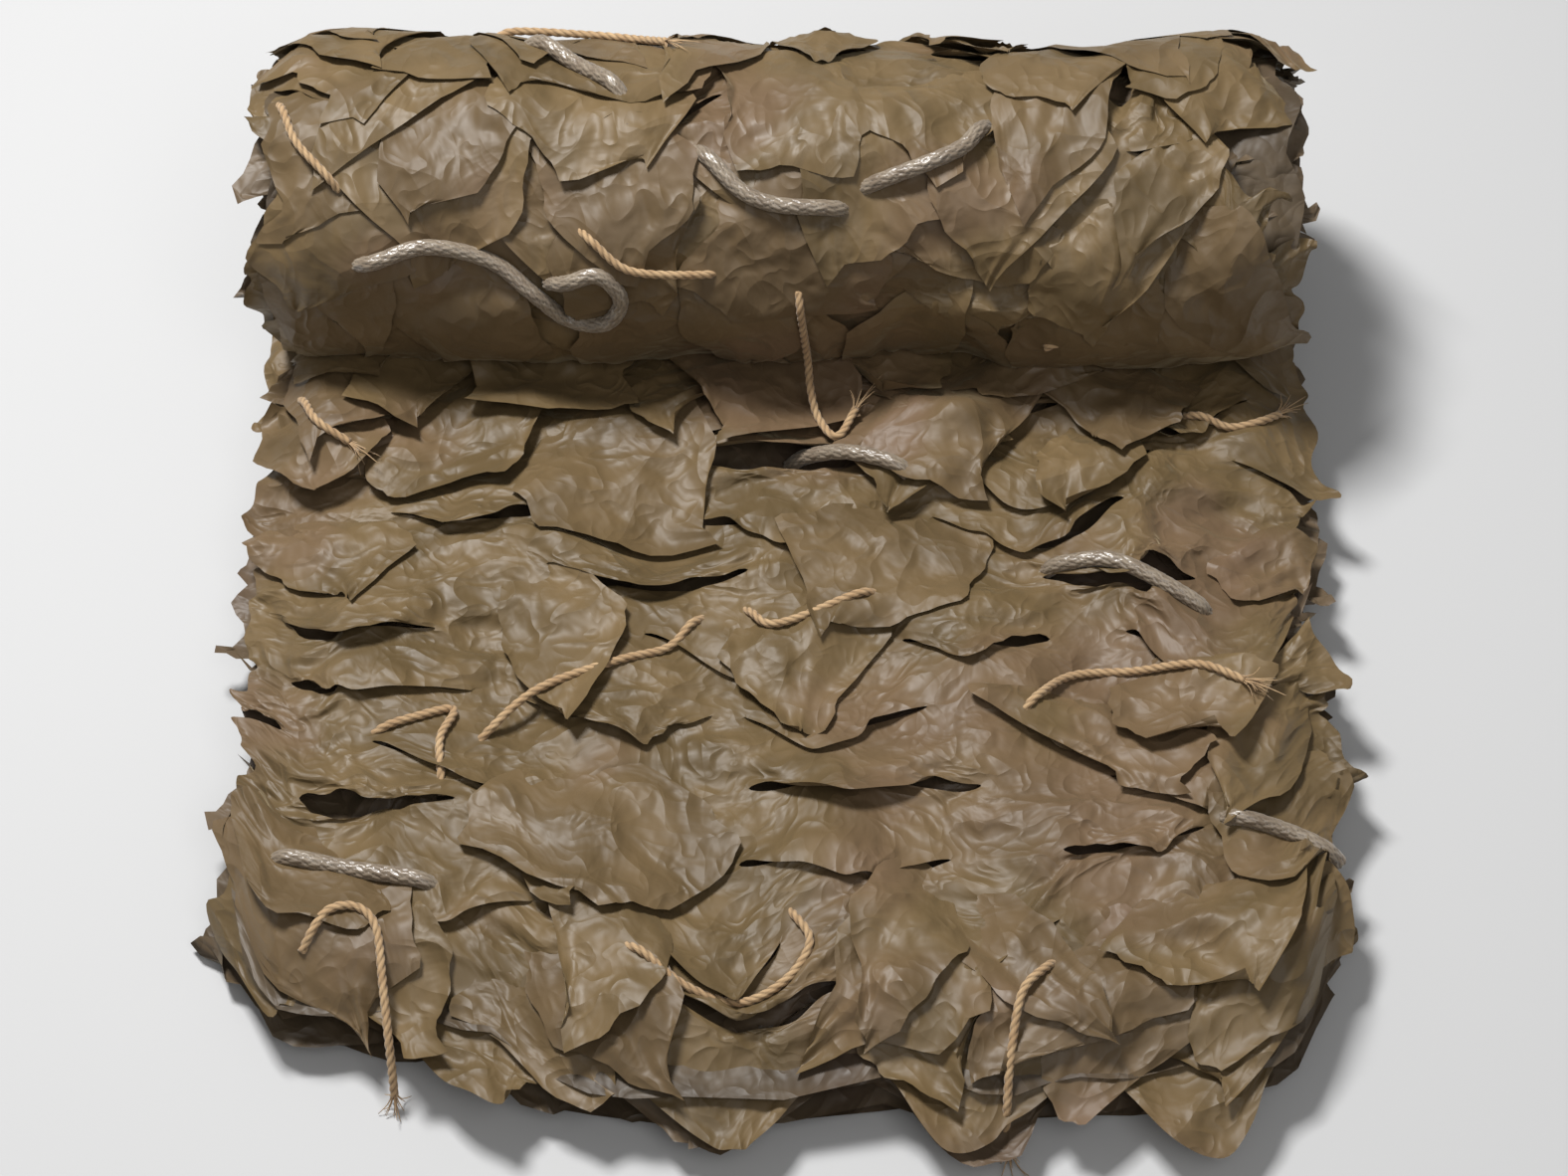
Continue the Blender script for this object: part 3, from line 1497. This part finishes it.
@dataclass
class Studio:
    """The pale floor, the soft lights and the camera."""

    tone: tuple[float, float, float] = (0.52, 0.52, 0.52)
    elevation: float = 55.0
    distance: float = 1.30
    target: tuple[float, float, float] = (0.0, -0.003, 0.036)
    lens: float = 81.7
    sensor: float = 36.0

    def camera(self) -> bpy.types.Object:
        """Sets up the camera, in front of the net and well above it."""
        angle = math.radians(self.elevation)
        back = Vector((0, -math.cos(angle), math.sin(angle)))
        data = bpy.data.cameras.new("camera")
        data.lens = self.lens
        data.sensor_width = self.sensor
        camera = bpy.data.objects.new("camera", data)
        bpy.context.scene.collection.objects.link(camera)
        camera.location = Vector(self.target) + back * self.distance
        camera.rotation_euler = back.to_track_quat("Z", "Y").to_euler()
        bpy.context.scene.camera = camera
        return camera

    def light(
        self, name: str, place: tuple[float, float, float], size: float, power: float
    ) -> bpy.types.Object:
        """Adds a soft light that points at the net.

        Args:
            name: The light's name.
            place: Where it hangs.
            size: Its side.
            power: Its power in watts.

        Returns:
            The light.
        """
        data = bpy.data.lights.new(name, "AREA")
        data.size = size
        data.energy = power
        lamp = bpy.data.objects.new(name, data)
        bpy.context.scene.collection.objects.link(lamp)
        lamp.location = place
        lamp.rotation_euler = (Vector(place) - Vector(self.target)).to_track_quat("Z", "Y").to_euler()
        return lamp

    def floor(self) -> bpy.types.Object:
        """Lays the pale floor."""
        ground = bmesh.new()
        bmesh.ops.create_grid(ground, x_segments=2, y_segments=2, size=4.0)
        mesh = bpy.data.meshes.new("floor")
        ground.to_mesh(mesh)
        ground.free()
        shader = Shader("floor_pale")
        shader.set(Base_Color=(*self.tone, 1), Roughness=0.9, Specular_IOR_Level=0.1)
        mesh.materials.append(shader.material)
        floor = bpy.data.objects.new("floor", mesh)
        bpy.context.scene.collection.objects.link(floor)
        return floor

    def build(self) -> None:
        """Sets up everything round the net."""
        self.camera()
        self.floor()
        self.light("key", (-0.45, 0.45, 1.5), 0.35, 34)
        self.light("front", (0.3, -0.9, 1.4), 0.9, 6)
        world = bpy.data.worlds.new("studio")
        world.use_nodes = True
        world.node_tree.nodes["Background"].inputs["Color"].default_value = (1, 1, 1, 1)
        world.node_tree.nodes["Background"].inputs["Strength"].default_value = 0.2
        bpy.context.scene.world = world
        bpy.context.scene.view_settings.view_transform = "Standard"


def main() -> None:
    """Builds the net, piece by piece."""
    logging.basicConfig(level=logging.INFO, format="%(name)s: %(message)s")
    Studio().build()
    materials = {finish.name: finish.material() for finish in (SATIN, SHADED_SATIN, DEEP_SATIN, TWINE, BRAID)}
    settled = LeafCutCloth().settle()
    layers = [
        Layer("leaves_tongue", TongueForm(), 0, 12, SATIN, flatten=0.6),
        Layer("leaves_roll", RollForm(), 12, 23, SATIN, flatten=0.7),
        Layer("leaves_tongue_below", TongueForm(level=21 * MM), 3, 15, SHADED_SATIN,
              mirrored=True, flatten=0.5, levels=0),
        Layer("leaves_roll_below", RollForm(lift=-7 * MM), 1, 12, SHADED_SATIN,
              mirrored=True, flatten=0.7, levels=0),
    ]
    made = [layer.build(settled, materials) for layer in layers]
    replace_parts(made[0], "folded_net")
    for number, depth in enumerate(PLY_DEPTHS):
        Ply(f"ply_{number + 1}", depth, DEEP_SATIN, number).build(materials)
    open_gaps = [
        ((gap[0] + side * gap[2] / 4) * MM, gap[1] * MM) for gap in WIDE_GAPS for side in (-1, 0, 1)
    ]
    loose = [
        LooseLeaves("loose_leaves_tongue", layers[0].form, SATIN, -6 * MM, 318 * MM,
                    clear_of=open_gaps).build(layers[0].height_map(settled), materials),
        LooseLeaves("loose_leaves_roll", layers[1].form, SATIN, 4 * MM, layers[1].form.length() - 20 * MM,
                    seed=8).build(layers[1].height_map(settled), materials),
    ]
    surface = Surface([*made[:2], *loose])
    chance = random.Random(11)
    frays = bmesh.new()
    for cord in (*ROPES, *TIES):
        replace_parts(cord.build(surface, materials), cord.name)
        for yarn in cord.frays(chance):
            add_tube(frays, yarn, YARN_RADIUS, 3, None, taper=0.6)
    LOG.info("laid %d cords", len(ROPES) + len(TIES))
    mesh = bpy.data.meshes.new("twine_frays")
    frays.to_mesh(mesh)
    frays.free()
    joined_object("twine_frays", mesh, materials[TWINE.name])


if __name__ == "__main__":
    main()
